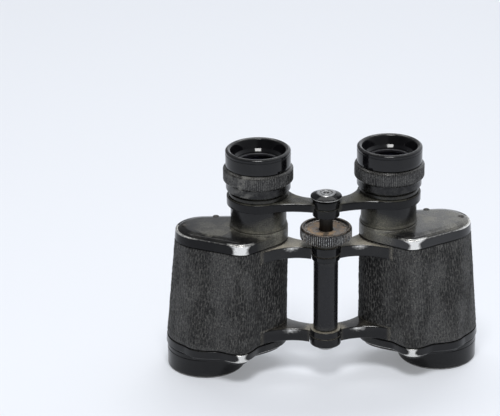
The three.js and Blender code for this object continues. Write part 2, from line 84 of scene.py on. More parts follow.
# Lobes (centre x, y, radius) whose outer line is the housing's plan at its foot and at its rim.
FOOT_Z, RIM_Z = 12.0, 72.8
FOOT_LOBES = [
    (HINGE[0] + 41.8, HINGE[1] - 3.8, 6.0),
    (HINGE[0] + 31.0, HINGE[1] + 15.6, 13.6),
    (OBJECTIVE[0], OBJECTIVE[1], 19.4),
    (HINGE[0] + 58.0, HINGE[1] + 6.1, 10.3),
]
RIM_LOBES = [
    (HINGE[0] + 39.8, HINGE[1] - 2.6, 7.3),
    (EYE[0], EYE[1], 13.9),
    (OBJECTIVE[0], HINGE[1] + 13.6, 13.8),
    (HINGE[0] + 56.0, HINGE[1] + 9.6, 9.6),
]
RIDGE_X = HINGE[0] + 40.6  # where the housing's front edge stands
SKIRT_TOP = top("right_bottom_cover")
SKIRT_FOOT = foot("right_top_cover")
BOSS_TOP = top("right_top_cover")
SKIN_INSET = 0.1  # of the covering's front, from the housing's outline

# Heights of each arm's web, its knuckle's radius, and the heights of the knuckle and of the seam in it.
LOWER = dict(low=17.2, high=23.6, knuckle=7.4, foot=17.1, seam=21.6, top=25.0)
UPPER = dict(low=61.0, high=67.0, knuckle=6.7, foot=61.2, seam=63.9, top=68.4)
ARM_END_X = 30.6  # from the hinge axis
SEAM_GAP = 0.3
LUG_AIR = 0.3  # between a web and the other half's knuckle
WEB_OVERLAP = 0.15  # how far an arm's web reaches into its own knuckle


# ---- outlines and meshes
OUTLINE_STEP = 0.7  # longest stretch of a painted outline, about
KNURLED_WALL = 0.5  # how far inside its greatest radius a piece still counts as its outer wall


def rounded(corners, closed=True, steps=5):
    """Points of an outline given as (a, b) or (a, b, rounding) corners, with the round ones as arcs."""
    points = []
    count = len(corners)
    for i, corner in enumerate(corners):
        here = Vector(corner[:2])
        radius = corner[2] if len(corner) > 2 else 0
        if not radius or (not closed and i in (0, count - 1)):
            points.append(tuple(here))
            continue
        back = Vector(corners[i - 1][:2]) - here
        on = Vector(corners[(i + 1) % count][:2]) - here
        reach = min(radius / math.tan(back.angle(on) / 2), 0.48 * min(back.length, on.length))
        start, end = here + back.normalized() * reach, here + on.normalized() * reach
        for t in np.linspace(0, 1, steps + 1):
            points.append(tuple(start * (1 - t) ** 2 + here * 2 * t * (1 - t) + end * t * t))
    return points


def dense(outline, closed):
    """The outline with extra points along its long stretches, so that painted marks stay in place."""
    points = []
    count = len(outline)
    for i in range(count if closed else count - 1):
        start, end = np.array(outline[i]), np.array(outline[(i + 1) % count])
        parts = max(1, round(np.linalg.norm(end - start) / OUTLINE_STEP))
        points += [tuple(start + (end - start) * k / parts) for k in range(parts)]
    return points if closed else points + [tuple(outline[-1])]


def unit(values):
    return np.clip(values, 0, 1)


def bell(values, at, spread):
    """1 where the values are at one place, falling off on both sides of it."""
    return np.exp(-((values - at) / spread) ** 2)


def from_axis(points, at):
    return np.hypot(points[:, 0] - at[0], points[:, 1] - at[1])


def nowhere(points):
    return np.zeros(len(points))


def everywhere(points):
    return np.ones(len(points))


def mark(mesh, points, paint):
    """Stores paint on a mesh as point attributes, each worked out from the points."""
    for key, worked_out in paint.items():
        layer = mesh.attributes.get(key) or mesh.attributes.new(key, "FLOAT", "POINT")
        layer.data.foreach_set("value", unit(worked_out(points)).astype(np.float32))


def smooth(mesh, sharp):
    """Shades a mesh smooth but for its edges over so many degrees."""
    mesh.polygons.foreach_set("use_smooth", [True] * len(mesh.polygons))
    mesh.set_sharp_from_angle(angle=math.radians(sharp))


def in_scene(name, data):
    obj = bpy.data.objects.new(name, data)
    bpy.context.scene.collection.objects.link(obj)
    return obj


def piece(name, points, faces, side=1, paint=None, sharp=32):
    """A smooth-shaded mesh object; paint names point attributes and how to work them out from the points."""
    points = np.asarray(points, float)
    mesh = bpy.data.meshes.new(name)
    placed = points * MM * np.array([side, 1, 1])
    mesh.from_pydata(placed.tolist(), [], [f[::side] for f in faces])
    mark(mesh, points, paint or {})
    smooth(mesh, sharp)
    return in_scene(name, mesh)


def ring_faces(rings, around, closed):
    faces = []
    for ring in range(rings if closed else rings - 1):
        low, high = ring * around, (ring + 1) % rings * around
        for i in range(around):
            j = (i + 1) % around
            faces.append((low + i, low + j, high + j, high + i))
    return faces


def turned(name, corners, at=HINGE, side=1, around=128, closed=True, knurl=None, **more):
    """A turned piece from (radius, height, rounding) corners. knurl = (foot, top, ridges, depth).

    Only the outer wall is knurled, so a bore keeps its clearance. A closed outline runs up its outside, and
    an open one starts and ends on the axis.
    """
    outline = rounded(corners, closed)
    if more.get("paint"):
        outline = dense(outline, closed)
    angles = np.linspace(0, 2 * math.pi, around, endpoint=False)
    outer_wall = max(r for r, _ in outline) - KNURLED_WALL
    points = []
    for r, z in outline:
        radii = np.full(around, r)
        if knurl and knurl[0] < z < knurl[1] and r > outer_wall:
            radii -= knurl[3] * (0.5 - 0.5 * np.cos(knurl[2] * angles)) ** 0.8
        points += zip(at[0] + radii * np.cos(angles), at[1] + radii * np.sin(angles), [z] * around)
    faces = ring_faces(len(outline), around, closed)
    obj = piece(name, points, faces, side, **more)
    if not closed:
        weld(obj)
    return obj


def rod(name, r, low, high, at, side, around=96):
    """A plain cylinder to cut with."""
    return turned(name, [(0, low), (r, low), (r, high), (0, high)], at, side, around, closed=False)


def rectangle(at, half_x, half_y):
    """Anticlockwise corners of a plan round its middle."""
    return [(at[0] + x * half_x, at[1] + y * half_y) for x, y in ((-1, -1), (1, -1), (1, 1), (-1, 1))]


def weld(obj):
    """Joins the coinciding points at the poles of an open turned piece."""
    mesh = bmesh.new()
    mesh.from_mesh(obj.data)
    bmesh.ops.remove_doubles(mesh, verts=mesh.verts, dist=1e-6)
    mesh.to_mesh(obj.data)
    mesh.free()


OUTLINE_FINE = 720
HOLLOW = 0.42  # how far the outline is drawn in, as a share of its gap to the nearest lobe


def outline_at(z, inset):
    """The housing's outline at one height, its outward directions and its lobes there."""
    angles = np.linspace(0, 2 * math.pi, OUTLINE_FINE, endpoint=False)
    ways = np.stack([np.cos(angles), np.sin(angles)], 1)

    def hull(lobes):
        reach = ways @ lobes[:, :2].T + lobes[:, 2]
        best = lobes[reach.argmax(1)]
        return best[:, :2] + ways * (best[:, 2:] - inset)

    share = (z - FOOT_Z) / (RIM_Z - FOOT_Z)
    foot_lobes, rim_lobes = np.array(FOOT_LOBES), np.array(RIM_LOBES)
    line = (1 - share) * hull(foot_lobes) + share * hull(rim_lobes)
    return line, ways, (1 - share) * foot_lobes + share * rim_lobes


def even_outline(z, inset, count):
    """The same outline with evenly spaced points, drawn in a little between the lobes near its foot."""
    line, ways, lobes = outline_at(z, inset)
    looped = np.vstack([line, line[:1]])
    way_loop = np.vstack([ways, ways[:1]])
    along = np.concatenate([[0], np.cumsum(np.linalg.norm(np.diff(looped, axis=0), axis=1))])
    places = np.linspace(0, along[-1], count, endpoint=False)
    pick = lambda values: np.stack([np.interp(places, along, values[:, i]) for i in (0, 1)], 1)
    points, out = pick(looped), pick(way_loop)
    out /= np.linalg.norm(out, axis=1)[:, None]
    gaps = np.linalg.norm(points[:, None] - lobes[None, :, :2], axis=2) - (lobes[:, 2] - inset)
    gap = (np.clip(gaps, 1e-3, None) ** -4.0).sum(1) ** -0.25
    front = unit(-2 * out[:, 1])
    low = unit((RIM_Z - z) / (RIM_Z - FOOT_Z)) ** 1.5
    return points - out * (HOLLOW * low * gap * front)[:, None], out, places


def lofted(name, corners, side=1, around=288, closed=True):
    """A piece with the housing's outline; corners are (inset, height, rounding), up its outside."""
    outline = dense(rounded(corners, closed), closed)
    points = []
    for inset, z in outline:
        line, _, _ = even_outline(z, inset, around)
        points += [(x, y, z) for x, y in line]
    faces = ring_faces(len(outline), around, closed)
    if not closed:
        last = (len(outline) - 1) * around
        faces.append(tuple(range(around))[::-1])
        faces.append(tuple(range(last, last + around)))
    return piece(name, points, faces, side)


def slab(name, plan, low, high, side=1):
    """An upright prism over a plan outline that runs anticlockwise."""
    count = len(plan)
    points = [(x, y, low) for x, y in plan] + [(x, y, high) for x, y in plan]
    faces = [(i, (i + 1) % count, count + (i + 1) % count, count + i) for i in range(count)]
    faces.append(tuple(range(count))[::-1])
    faces.append(tuple(range(count, 2 * count)))
    return piece(name, points, faces, side)


def curve(start, bend, end, steps):
    """Points of a plan curve from start to end, drawn towards bend."""
    start, bend, end = (np.array(p, float) for p in (start, bend, end))
    return [tuple(start * (1 - t) ** 2 + bend * 2 * t * (1 - t) + end * t * t)
            for t in np.linspace(0, 1, steps + 1)]


def modify(obj, kind, **settings):
    """Adds one modifier and applies it at once."""
    modifier = obj.modifiers.new(kind.lower(), kind)
    for key, value in settings.items():
        setattr(modifier, key, value)
    with bpy.context.temp_override(object=obj, active_object=obj, selected_objects=[obj]):
        bpy.ops.object.modifier_apply(modifier=modifier.name)
    return obj


def boolean(obj, tools, operation):
    for tool in tools:
        modify(obj, "BOOLEAN", object=tool, operation=operation, solver="MANIFOLD")
        bpy.data.objects.remove(tool)
    return obj


def soften(obj, width):
    """Rounds the hard edges of a piece that was cut or joined."""
    modify(obj, "BEVEL", width=width * MM, segments=3, limit_method="ANGLE",
           angle_limit=math.radians(28), use_clamp_overlap=True)
    smooth(obj.data, 40)
    return obj


def repaint(obj, side=1, **paint):
    """Works out point attributes after a mesh has been cut."""
    points = np.zeros(len(obj.data.vertices) * 3)
    obj.data.vertices.foreach_get("co", points)
    points = points.reshape(-1, 3) / MM * np.array([side, 1, 1])
    mark(obj.data, points, paint)


def joined(name, first, *others):
    """One object from several."""
    for other in others:
        other.select_set(False)
    with bpy.context.temp_override(active_object=first, selected_editable_objects=[first, *others]):
        bpy.ops.object.join()
    first.name = name
    return first


def hand_in(obj, body, material, slot, *nodes):
    """Gives a finished piece its material and its body, and hides the CAD nodes that it stands for."""
    obj.data.materials.clear()
    obj.data.materials.append(material)
    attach(obj, body)
    if nodes:
        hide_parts(*nodes)
    return obj


# ---- materials
RANGE_ENDS = ("From Min", "From Max", "To Min", "To Max")


class Shading:
    """A material's node tree, with short names for what these materials use."""

    def __init__(self, name):
        self.material = bpy.data.materials.new(name)
        self.material.use_nodes = True
        self.tree = self.material.node_tree
        self.shader = self.tree.nodes["Principled BSDF"]
        self.place = self.node("TexCoord").outputs["Object"]

    def node(self, kind):
        return self.tree.nodes.new("ShaderNode" + kind)

    def set(self, **sockets):
        """Sets or links sockets of the shader; underscores in a name stand for spaces."""
        for name, value in sockets.items():
            self.feed(self.shader.inputs[name.replace("_", " ")], value)
        return self.material

    def feed(self, socket, value):
        if isinstance(value, bpy.types.NodeSocket):
            self.tree.links.new(value, socket)
        else:
            socket.default_value = value

    def stretched(self, size, stretch):
        node = self.node("Mapping")
        self.feed(node.inputs["Vector"], self.place)
        node.inputs["Scale"].default_value = [1 / (size * MM * s) for s in stretch]
        return node.outputs["Vector"]

    def noise(self, size, detail=3, stretch=(1, 1, 1), roughness=0.55):
        node = self.node("TexNoise")
        self.feed(node.inputs["Vector"], self.stretched(size, stretch))
        node.inputs["Scale"].default_value = 1
        node.inputs["Detail"].default_value = detail
        node.inputs["Roughness"].default_value = roughness
        return node.outputs["Fac"]

    def cells(self, size):
        node = self.node("TexVoronoi")
        self.feed(node.inputs["Vector"], self.stretched(size, (1, 1, 1)))
        node.inputs["Scale"].default_value = 1
        return node.outputs["Distance"]

    def step(self, value, low, high, to=(0, 1)):
        node = self.node("MapRange")
        node.interpolation_type = "SMOOTHSTEP"
        self.feed(node.inputs["Value"], value)
        for key, end in zip(RANGE_ENDS, (low, high, *to)):
            node.inputs[key].default_value = end
        return node.outputs["Result"]

    def math(self, operation, a, b, clamp=False):
        node = self.node("Math")
        node.operation = operation
        node.use_clamp = clamp
        self.feed(node.inputs[0], a)
        self.feed(node.inputs[1], b)
        return node.outputs[0]

    def times(self, a, b, clamp=False):
        return self.math("MULTIPLY", a, b, clamp)

    def plus(self, a, b, clamp=False):
        return self.math("ADD", a, b, clamp)

    def mix(self, share, a, b):
        """Blends two colours, or two numbers."""
        node = self.node("Mix")
        node.data_type = "RGBA"
        self.feed(node.inputs[0], share)
        for socket, value in ((node.inputs[6], a), (node.inputs[7], b)):
            if isinstance(value, (int, float)):
                value = (value, value, value, 1)
            elif isinstance(value, tuple) and len(value) == 3:
                value = (*value, 1)
            self.feed(socket, value)
        return node.outputs[2]

    def painted(self, name):
        node = self.node("Attribute")
        node.attribute_name = name
        return node.outputs["Fac"]

    def facing_up(self):
        geometry = self.node("NewGeometry")
        split = self.node("SeparateXYZ")
        self.feed(split.inputs[0], geometry.outputs["Normal"])
        return self.step(split.outputs["Z"], 0.55, 0.97)

    def away_from(self, at):
        """Distance in millimetres from an upright axis."""
        offset = self.node("VectorMath")
        offset.operation = "MULTIPLY_ADD"
        self.feed(offset.inputs[0], self.place)
        offset.inputs[1].default_value = (1 / MM, 1 / MM, 0)
        offset.inputs[2].default_value = (-at[0], -at[1], 0)
        length = self.node("VectorMath")
        length.operation = "LENGTH"
        self.feed(length.inputs[0], offset.outputs["Vector"])
        return length.outputs["Value"]

    def bump(self, height, depth):
        """Depth is in millimetres."""
        node = self.node("Bump")
        node.inputs["Strength"].default_value = 1
        node.inputs["Distance"].default_value = depth * MM
        self.feed(node.inputs["Height"], height)
        return node.outputs["Normal"]


BLACK = (0.006, 0.006, 0.007)
# Worn bare metal, and also the colour of the painted highlights on the arms' front edges and the top cover's front
# rim.
BARE_METAL_AND_HIGHLIGHT = (0.80, 0.79, 0.76)
GREY_DUST = (0.150, 0.145, 0.128)
BEIGE_DUST = (0.330, 0.300, 0.235)
OLIVE_DUST = (0.120, 0.115, 0.090)
# Dust on the covers; also the colour of the painted sheen on the right cover's top.
COVER_DUST_AND_SHEEN = (0.240, 0.230, 0.190)
PALE_DUST = (0.430, 0.395, 0.320)
NECK_DUST = (0.160, 0.152, 0.118)
RING_DUST, RING_METAL = (0.240, 0.235, 0.215), (0.140, 0.137, 0.130)
WHEEL_DUST, WHEEL_METAL = (0.360, 0.250, 0.155), (0.550, 0.550, 0.530)


def enamel(name, settled=0.5, film=0.05, dust=GREY_DUST, gloss=0.10, base=BLACK, even=0.3, halo=None,
           ior=1.38):
    """Old gloss enamel: settled dust, a painted film of grime (on the right cover's top also a painted sheen), and
    bare worn spots (on the arms' front edges and the top cover's front rim also painted highlights).

    even is how much of the settled dust has no patches in it; halo is a further share of dust on what faces
    up round the hinge, as (near, far, share) with distances from its axis.
    """
    s = Shading(name)
    patches = s.step(s.noise(6, 5), 0.40, 0.64)
    grains = s.step(s.noise(0.45, 2), 0.40, 0.70)
    up = s.facing_up()
    lying = s.times(s.times(up, s.step(patches, 0, 1, (even, 1))), settled)
    if halo:
        ring = s.times(s.step(s.away_from(HINGE), halo[1], halo[0]), halo[2])
        lying = s.math("MAXIMUM", lying, s.times(ring, up))
    # The painted film is grime, and on the right cover's top also a painted sheen standing in for a reflection.
    grime = s.times(s.painted("film"), s.step(patches, 0, 1, (0.6, 1)))
    dust_and_sheen = s.plus(s.plus(lying, grime), s.times(patches, film), clamp=True)
    dust_and_sheen = s.times(dust_and_sheen, s.step(grains, 0, 1, (0.5, 1.15)), clamp=True)
    ragged = s.plus(s.painted("wear"), s.times(s.noise(1.3, 5), 0.45))
    # Bare metal where the enamel is rubbed off, and along the arms' front edges and the top cover's front rim also a
    # painted highlight.
    worn = s.step(ragged, 0.58, 1.0)
    dull = s.step(s.noise(2.5, 4), 0.35, 0.70, (gloss, gloss + 0.10))
    colour = s.mix(worn, s.mix(dust_and_sheen, base, dust), BARE_METAL_AND_HIGHLIGHT)
    rough = s.mix(worn, s.mix(dust_and_sheen, dull, 0.72), s.step(s.noise(0.5, 3), 0.3, 0.7, (0.18, 0.34)))
    height = s.plus(s.times(s.noise(4, 2), 0.30), s.times(grains, dust_and_sheen))
    return s.set(Base_Color=colour, Roughness=rough, Metallic=worn, IOR=ior,
                 Normal=s.bump(s.math("SUBTRACT", height, s.times(worn, 0.6)), 0.022))


def leatherette(name):
    """Black grained cloth: dark pebbles in a net of dusty creases, with cut edges, and painted shade that darkens it
    towards the hinge.
    """
    s = Shading(name)
    fine = s.noise(0.34, 3, (1, 1, 2.6))
    breaks = s.step(s.noise(1.9, 3), 0.38, 0.58, (0.1, 1))
    grit = s.step(s.noise(0.55, 2), 0.63, 0.70)
    zones = s.step(s.noise(11, 2, (1, 1, 2.2)), 0.42, 0.60, (0.50, 1))
    # The cloth is painted lighter away from the hinge and darker towards it, as painted shade, broken up by random
    # zones.
    lit_share = s.times(s.step(s.away_from(HINGE), 16, 34, (0.25, 1)), zones)
    patches = s.step(s.noise(14, 3), 0.35, 0.65, (0.75, 1))
    haze = s.times(s.times(lit_share, patches), s.step(fine, 0.36, 0.64, (0.03, 0.48)))
    crease = s.times(s.times(s.painted("crest"), breaks), s.step(lit_share, 0.2, 1, (0.90, 0.50)))
    # The creases and the dust haze are both dimmed towards the hinge by the same painted shade.
    dusty = s.plus(crease, haze, clamp=True)
    colour = s.mix(dusty, (0.003, 0.003, 0.004), (0.190, 0.187, 0.176))
    colour = s.mix(s.times(grit, s.times(lit_share, 0.5)), colour, (0.34, 0.32, 0.28))
    colour = s.mix(s.times(s.painted("edge"), s.step(fine, 0.3, 0.7)), colour, BEIGE_DUST)
    height = s.plus(s.times(fine, 0.6), s.times(s.cells(0.5), 0.4))
    # Its reflection is also painted weaker towards the hinge, as part of the same painted shade.
    return s.set(Base_Color=colour, Roughness=s.mix(dusty, s.step(fine, 0.3, 0.7, (0.28, 0.46)), 0.75),
                 Specular_IOR_Level=s.step(lit_share, 0.15, 1, (0.05, 0.30)), Normal=s.bump(height, 0.14))


def bakelite(name):
    """Polished black plastic with a thin haze and specks of dust."""
    s = Shading(name)
    haze = s.step(s.noise(5, 5), 0.35, 0.72)
    specks = s.step(s.noise(0.4, 2), 0.68, 0.78)
    # This greys the eyecups' rims: partly rubbing, and partly a painted reflection of the bright surroundings.
    rubbed = s.times(s.painted("wear"), s.step(s.noise(1.4, 4), 0.30, 0.60, (0.4, 1)))
    colour = s.mix(s.times(haze, 0.015), (0.004, 0.004, 0.005), (0.22, 0.22, 0.22))
    colour = s.mix(rubbed, colour, (0.05, 0.05, 0.05))
    colour = s.mix(s.times(specks, 0.1), colour, GREY_DUST)
    rough = s.mix(rubbed, s.step(haze, 0, 1, (0.06, 0.14)), 0.22)
    return s.set(Base_Color=colour, Roughness=rough, IOR=1.38, Normal=s.bump(s.noise(3, 2), 0.008))


def knurled(name, dust, tone, lying):
    """Blackened knurled metal: crests rubbed bright, dust in patches and on what faces up."""
    s = Shading(name)
    patches = s.step(s.noise(3.5, 5), 0.40, 0.62)
    fine = s.noise(0.35, 3, (1, 1, 2.5))
    speckle = s.step(s.noise(0.55, 3), 0.42, 0.60)
    rubbed = s.times(s.painted("crest"), s.step(fine, 0.40, 0.62, (0.12, 1)))
    settled = s.times(s.facing_up(), s.times(speckle, lying))
    grime = s.times(s.painted("film"), s.step(patches, 0, 1, (0.10, 1)))
    grime = s.plus(settled, s.times(grime, s.step(fine, 0.25, 0.6, (0.4, 1))), clamp=True)
    colour = s.mix(grime, s.mix(rubbed, BLACK, tone), dust)
    return s.set(Base_Color=colour, Roughness=s.mix(grime, 0.24, 0.75), Metallic=s.mix(grime, 0.55, 0.0),
                 Normal=s.bump(s.plus(fine, s.times(grime, 0.8)), 0.04))


def turned_metal(name, tone, rough=0.3, metal=1.0):
    """Bare metal with fine turning lines and a little tarnish."""
    s = Shading(name)
    lines = s.noise(0.25, 2, (8, 8, 1))
    tarnish = s.step(s.noise(3, 4), 0.4, 0.7)
    dark = tuple(0.45 * c for c in tone)
    return s.set(Base_Color=s.mix(s.times(tarnish, 0.6), tone, dark), Metallic=metal,
                 Roughness=s.step(lines, 0.3, 0.7, (rough, rough + 0.18)), Normal=s.bump(lines, 0.01))


def optical_glass(name, tint):
    """Clear glass with a thin haze and a coated sheen."""
    s = Shading(name)
    haze = s.step(s.noise(4, 5), 0.45, 0.8, (0.0, 0.10))
    return s.set(Base_Color=(*tint, 1), Roughness=haze, Transmission_Weight=1.0, IOR=1.52,
                 Coat_Weight=0.6, Coat_Tint=(0.80, 0.78, 0.97, 1), Specular_Tint=(0.86, 0.84, 1.0, 1))


MATERIALS = {
    "left_cover": enamel("left_cover_enamel", settled=0.08, film=0.01, dust=COVER_DUST_AND_SHEEN, gloss=0.08,
                         ior=1.26),
    "right_cover": enamel("right_cover_enamel", settled=0.10, film=0.015, dust=COVER_DUST_AND_SHEEN, gloss=0.10,
                          ior=1.50),
    "cone": enamel("cap_enamel", settled=0.02, film=0.0, gloss=0.05, ior=1.20),
    "base": enamel("base_enamel", settled=0.2, film=0.02, gloss=0.12),
    "barrel": enamel("barrel_enamel", settled=0.2, film=0.02, gloss=0.12),
    "upper_arm": enamel("upper_arm_enamel", settled=1.0, film=0.01, dust=PALE_DUST, gloss=0.07, even=0.8),
    "lower_arm": enamel("lower_arm_enamel", settled=0.10, film=0.01, dust=BEIGE_DUST, gloss=0.07,
                        halo=(7.5, 12.0, 0.75)),
    "bridge": enamel("bridge_enamel", settled=0.75, film=0.01, dust=OLIVE_DUST, gloss=0.06, even=0.5, ior=1.30),
    "neck": enamel("neck_enamel", settled=0.5, film=0.02, dust=NECK_DUST, gloss=0.14),
    "tube": enamel("hinge_tube_enamel", settled=0.2, film=0.02, gloss=0.20, base=(0.010, 0.010, 0.012)),
    "leatherette": leatherette("leatherette"),
    "bakelite": bakelite("bakelite"),
    "ring": knurled("eyepiece_ring_metal", RING_DUST, RING_METAL, 0.08),
    "wheel": knurled("focus_wheel_metal", WHEEL_DUST, WHEEL_METAL, 0.4),
    "cap": turned_metal("column_cap_metal", (0.30, 0.30, 0.30), 0.30),
    "spindle": turned_metal("oiled_spindle", (0.030, 0.027, 0.024), 0.35, 0.6),
    "steel": turned_metal("turned_steel", (0.38, 0.38, 0.37)),
    "spring": turned_metal("spring_steel", (0.30, 0.31, 0.33), 0.22),
    "alloy": turned_metal("blackened_alloy", (0.055, 0.055, 0.06), 0.4, 0.8),
    "shelf": turned_metal("milled_alloy", (0.42, 0.42, 0.41), 0.35),
    "glass": optical_glass("optical_glass", (0.93, 0.96, 1.0)),
    "prism": optical_glass("prism_glass", (0.95, 0.98, 0.96)),
}


# ---- leatherette
GRAIN_WIDTH = 1.45
GRAIN_HEIGHT = 3.4
GRAIN_DEPTH = 0.36
GRAIN_SEEDS = {"right": 11, "left": 12}


def pits(along, length, heights, seed):
    """How near each point is to a crest between two pits, from 0 in a pit to 1 on an upright crest."""
    columns = round(length / GRAIN_WIDTH)
    rows = int(math.ceil((heights.max() - heights.min()) / GRAIN_HEIGHT)) + 2
    rng = np.random.default_rng(seed)
    jitter = rng.uniform(-0.42, 0.42, (columns, rows, 2))
    u = along / length * columns
    v = (heights - heights.min()) / GRAIN_HEIGHT + 0.5
    column, row = np.floor(u).astype(int), np.floor(v).astype(int)
    away = []
    for i in (-1, 0, 1):
        for j in (-1, 0, 1):
            c, r = column + i, np.clip(row + j, 0, rows - 1)
            shift = jitter[c % columns, r]
            stagger = 0.3 * (c % 2)
            away.append([u - c - 0.5 - shift[..., 0], v - r - 0.5 - stagger - shift[..., 1]])
    away = np.array(away)
    far = np.hypot(away[:, 0], away[:, 1])
    order = np.argsort(far, axis=0)[:2]
    near, second = np.take_along_axis(far, order, axis=0)
    apart = np.abs(np.diff(np.take_along_axis(away, order[:, None], axis=0), axis=0))[0]
    upright = apart[0] / (apart[0] + apart[1] + 1e-6)
    border = unit((second - near) / 0.32)
    return (1 - border * border * (3 - 2 * border)) * (0.25 + 0.75 * upright)


def covering(side):
    """The skin as one closed strip round the housing, with its grain in the mesh."""
    name = f"{side}_covering"
    low, high = heights("right_covering")
    around, rows = 520, 120
    margin, lip = 0.45, 0.12  # between an edge and the grain, and of an edge's rounding
    rings = [(1.2, low), (0.45, low), (lip, low + lip)]
    first = len(rings)
    rings += [(0.0, z) for z in np.linspace(low + margin, high - margin, rows)]
    rings += [(lip, high - lip), (0.45, high), (1.2, high)]
    lines = [even_outline(z, SKIN_INSET, around) for _, z in rings]
    length = lines[0][2][-1] * around / (around - 1)
    along = np.array([places / places[-1] * length * (around - 1) / around for _, _, places in lines])
    z_grid = np.array([[z] * around for _, z in rings])
    crest = pits(along, length, z_grid, GRAIN_SEEDS[side])
    fade = np.array([float(first <= i < first + rows) for i in range(len(rings))])[:, None]
    points = []
    for (inset, z), (line, ways, _), lift in zip(rings, lines, crest * fade):
        moved = line + ways * (GRAIN_DEPTH * (lift[:, None] - 0.5) - inset)
        points += [(x, y, z) for x, y in moved]
    flat = (crest * fade).ravel()

    def near_arms(p):
        """1 along the cut edges round both arms' ends."""
        across = np.abs(p[:, 0] - HINGE[0] - ARM_END_X)
        shown = nowhere(p)
        for level in (LOWER, UPPER):
            beside = (across < 0.55) & (p[:, 2] > level["low"] - 0.5) & (p[:, 2] < level["high"] + 0.5)
            above = (np.abs(p[:, 2] - level["high"] - 0.3) < 0.4) & (p[:, 0] < HINGE[0] + ARM_END_X + 0.4)
            shown = np.maximum(shown, (0.8 * beside + 0.5 * above) * (p[:, 1] < HINGE[1] + 14))
        return np.minimum(shown, 0.3)

    faces = ring_faces(len(rings), around, True)
    obj = piece(name, points, faces, SIDES[side], {"crest": lambda p: flat, "edge": near_arms}, sharp=60)
    return hand_in(obj, f"{side}_half", MATERIALS["leatherette"], "leatherette", name)


# ---- covers
def ridge_wear(points, low, high, low_width, waist, high_width):
    """Paint rubbed off the front ridge between two heights, in a patch with a waist."""
    share = unit((points[:, 2] - low) / (high - low)) * 2 - 1
    width = waist + np.where(share < 0, low_width - waist, high_width - waist) * share ** 2
    near = 1 - np.abs(points[:, 0] - RIDGE_X) / width
    inside = (points[:, 2] > low - 0.4) & (points[:, 2] < high + 0.5) & (points[:, 1] < HINGE[1] - 2)
    return np.where(inside, unit(0.26 + 0.85 * near), 0)


def rim_line(points, height, spread, strength):
    """A worn line along an edge at one height."""
    return strength * bell(points[:, 2], height, spread)


TOP_RIDGE_WIDTHS = {"right": (4.2, 3.4, 8.0), "left": (5.2, 4.8, 7.6)}


def top_cover(side):
    name = f"{side}_top_cover"
    sign = SIDES[side]
    rim = RIM_Z
    shell = lofted(name, [
        (5.0, 72.0), (1.2, 72.0, 0.2), (1.2, SKIRT_FOOT, 0.1), (0.0, SKIRT_FOOT, 0.25), (0.0, rim, 0.45),
        (0.85, rim + 0.15, 0.1), (1.0, rim - 0.15, 0.08), (1.2, rim + 0.2, 0.1), (2.4, 73.7, 1.2),
        (4.4, 74.25, 1.5), (5.5, 74.3),
    ], sign, closed=False)
    boss = turned("boss", [
        (12.4, 72.4), (13.85, 72.4), (13.85, BOSS_TOP, 0.5), (12.4, BOSS_TOP, 0.2),
    ], EYE, sign, 160)
    obj = joined(name, shell, boss)
    eye_side = lambda p: unit(1 - (from_axis(p, EYE) - 13.0) / 3.0)
    inner_wall = lambda p: unit((33 - p[:, 0]) / 9)
    above = lambda p: p[:, 2] > rim + 0.1
    # This paints a sheen: film laid on the right cover's top, more of it towards the outer side, as a painted
    # reflection of the bright surroundings.
    sheen = lambda p: unit((p[:, 0] - 42) / 18) * above(p) * (0.40 if side == "right" else 0.0)
    smear_at, smear_size = np.array([OBJECTIVE[0] - 5.6, HINGE[1] + 6.1]), np.array([7.6, 6.2])
    smear = lambda p: (np.linalg.norm((p[:, :2] - smear_at) / smear_size, axis=1) < 1) * (side == "left")
    # A worn line along the front rim, made stronger at the outer end as a painted highlight of the rounded edge.
    rim_wear = lambda p: (rim_line(p, rim - 0.1, 0.30, 0.48) * (p[:, 0] > 33) * (p[:, 1] < OBJECTIVE[1])
                          * (1 + 0.8 * unit((p[:, 0] - 60) / 6)))
    repaint(
        obj, sign,
        film=lambda p: 0.95 * inner_wall(p) + 0.6 * eye_side(p) * above(p) + 0.35 * smear(p) + sheen(p),
        wear=lambda p: np.maximum(ridge_wear(p, SKIRT_FOOT, rim, *TOP_RIDGE_WIDTHS[side]), rim_wear(p)),
    )
    return hand_in(obj, f"{side}_half", MATERIALS[f"{side}_cover"], "enamel", name)


def bottom_cover(side):
    name = f"{side}_bottom_cover"
    sign = SIDES[side]
    plate_foot = foot("right_bottom_cover")
    obj = lofted(name, [
        (4.5, plate_foot), (2.4, plate_foot, 0.5), (2.2, 11.9, 0.1), (0.5, 11.95, 0.2), (0.0, 12.6, 0.4),
        (0.0, SKIRT_TOP, 0.3), (1.2, SKIRT_TOP, 0.1), (1.2, 13.2, 0.2), (4.5, 13.2),
    ], sign, closed=False)
    seat = turned("seat", [(0, 5), (19.1, 5), (19.1, 12.0), (16.2, 12.0), (16.2, 20), (0, 20)],
                  OBJECTIVE, sign, 128, closed=False)
    boolean(obj, [seat], "DIFFERENCE")
    repaint(
        obj, sign,
        film=lambda p: 0.25 * unit((30 - p[:, 0]) / 12),
        wear=lambda p: np.maximum(
            ridge_wear(p, 12.2, SKIRT_TOP, 7.0, 2.3, 3.4),
            rim_line(p, 12.25, 0.42, 0.75) * (p[:, 0] < RIDGE_X + 8) * (p[:, 1] < HINGE[1] + 14)),
    )
    smooth(obj.data, 32)
    return hand_in(obj, f"{side}_half", MATERIALS["base"], "enamel", name)


